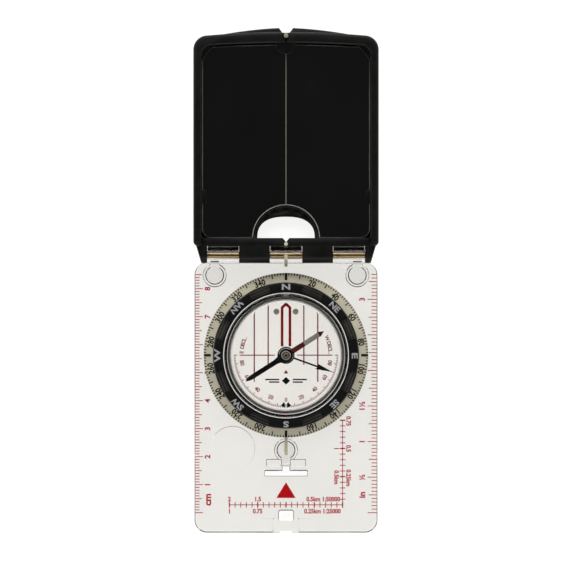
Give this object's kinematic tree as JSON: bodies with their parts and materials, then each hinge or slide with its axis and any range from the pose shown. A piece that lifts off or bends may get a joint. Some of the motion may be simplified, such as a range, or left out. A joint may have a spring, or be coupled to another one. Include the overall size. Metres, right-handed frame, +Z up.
{
  "type": "baseplate compass",
  "caption": "Clear baseplate compass with a turning bezel, sealed dial capsule, swinging needle and clinometer, and a hinged mirror lid laid open flat.",
  "frame": {"origin": "middle of the footprint of the opened compass, on the surface it lies on", "axes": "+Y from the ruler end towards the lid end, +X towards the inch ruler, +Z up, out of the dial"},
  "size_m": [0.0658, 0.1802, 0.014],
  "materials": {
    "clear_acrylic": "polished clear acrylic",
    "clear_rubber": "clear silicone rubber",
    "luminous": "pale luminous plastic or paint",
    "black_plastic": "fine satin black moulding",
    "black_gloss": "gloss black coat",
    "grey_seal": "grey seal",
    "red_needle": "deep red coat",
    "brass": "drawn brass",
    "steel": "ground steel",
    "jewel": "polished jewel",
    "mirror": "silvered glass",
    "tape": "white foam tape"
  },
  "bodies": {
    "base": {"baseplate": "clear_acrylic", "hinge_pin": "brass", "foot_left": "clear_rubber", "foot_right": "clear_rubber", "foot_front": "clear_rubber", "index_bar_rear": "luminous", "index_bar_front": "luminous"},
    "bezel": {"degree_ring": "luminous", "grip_ring": "black_plastic", "retaining_ring": "black_plastic", "scale_disc": "clear_acrylic"},
    "capsule": {"capsule_dome": "clear_acrylic", "capsule_floor": "clear_acrylic", "capsule_seal": "grey_seal", "declination_gear_ring": "black_plastic", "dot_left": "luminous", "dot_right": "luminous", "capsule_index": "luminous", "pivot_post": "steel"},
    "clinometer": {"clinometer_pointer": "black_gloss"},
    "needle": {"needle_north": "red_needle", "needle_lume": "luminous", "needle_south": "black_gloss", "needle_magnet": "steel", "jewel_cup": "brass", "jewel": "jewel"},
    "screw": {"declination_screw": "brass"},
    "lid": {"lid_shell": "black_plastic", "mirror": "mirror", "mirror_tape": "tape", "lid_dot_near": "luminous", "lid_dot_far": "luminous"}
  },
  "joints": [
    {"name": "lid_hinge", "type": "hinge", "parent": "base", "child": "lid", "pos_m": [0, 0.0092, 0.009], "axis": [1, 0, 0], "range_deg": [0, 180]},
    {"name": "bezel_turn", "type": "hinge", "parent": "base", "child": "bezel", "pos_m": [0, -0.02655, 0.006], "axis": [0, 0, 1], "continuous": true},
    {"name": "declination_set", "type": "hinge", "parent": "bezel", "child": "capsule", "pos_m": [0, -0.02655, 0.006], "axis": [0, 0, 1], "range_deg": [-90, 90]},
    {"name": "declination_screw_turn", "type": "hinge", "parent": "bezel", "child": "screw", "pos_m": [0.01629, -0.04284, 0.005], "axis": [0, 0, 1], "range_deg": [-1350, 1350]},
    {"name": "needle_swing", "type": "hinge", "parent": "capsule", "child": "needle", "pos_m": [0, -0.02655, 0.006], "axis": [0, 0, 1], "continuous": true},
    {"name": "clinometer_swing", "type": "hinge", "parent": "capsule", "child": "clinometer", "pos_m": [0, -0.02655, 0.006], "axis": [0, 0, 1], "continuous": true}
  ],
  "couplings": [
    {"joint": "declination_screw_turn", "follows": "declination_set", "ratio": -15}
  ]
}
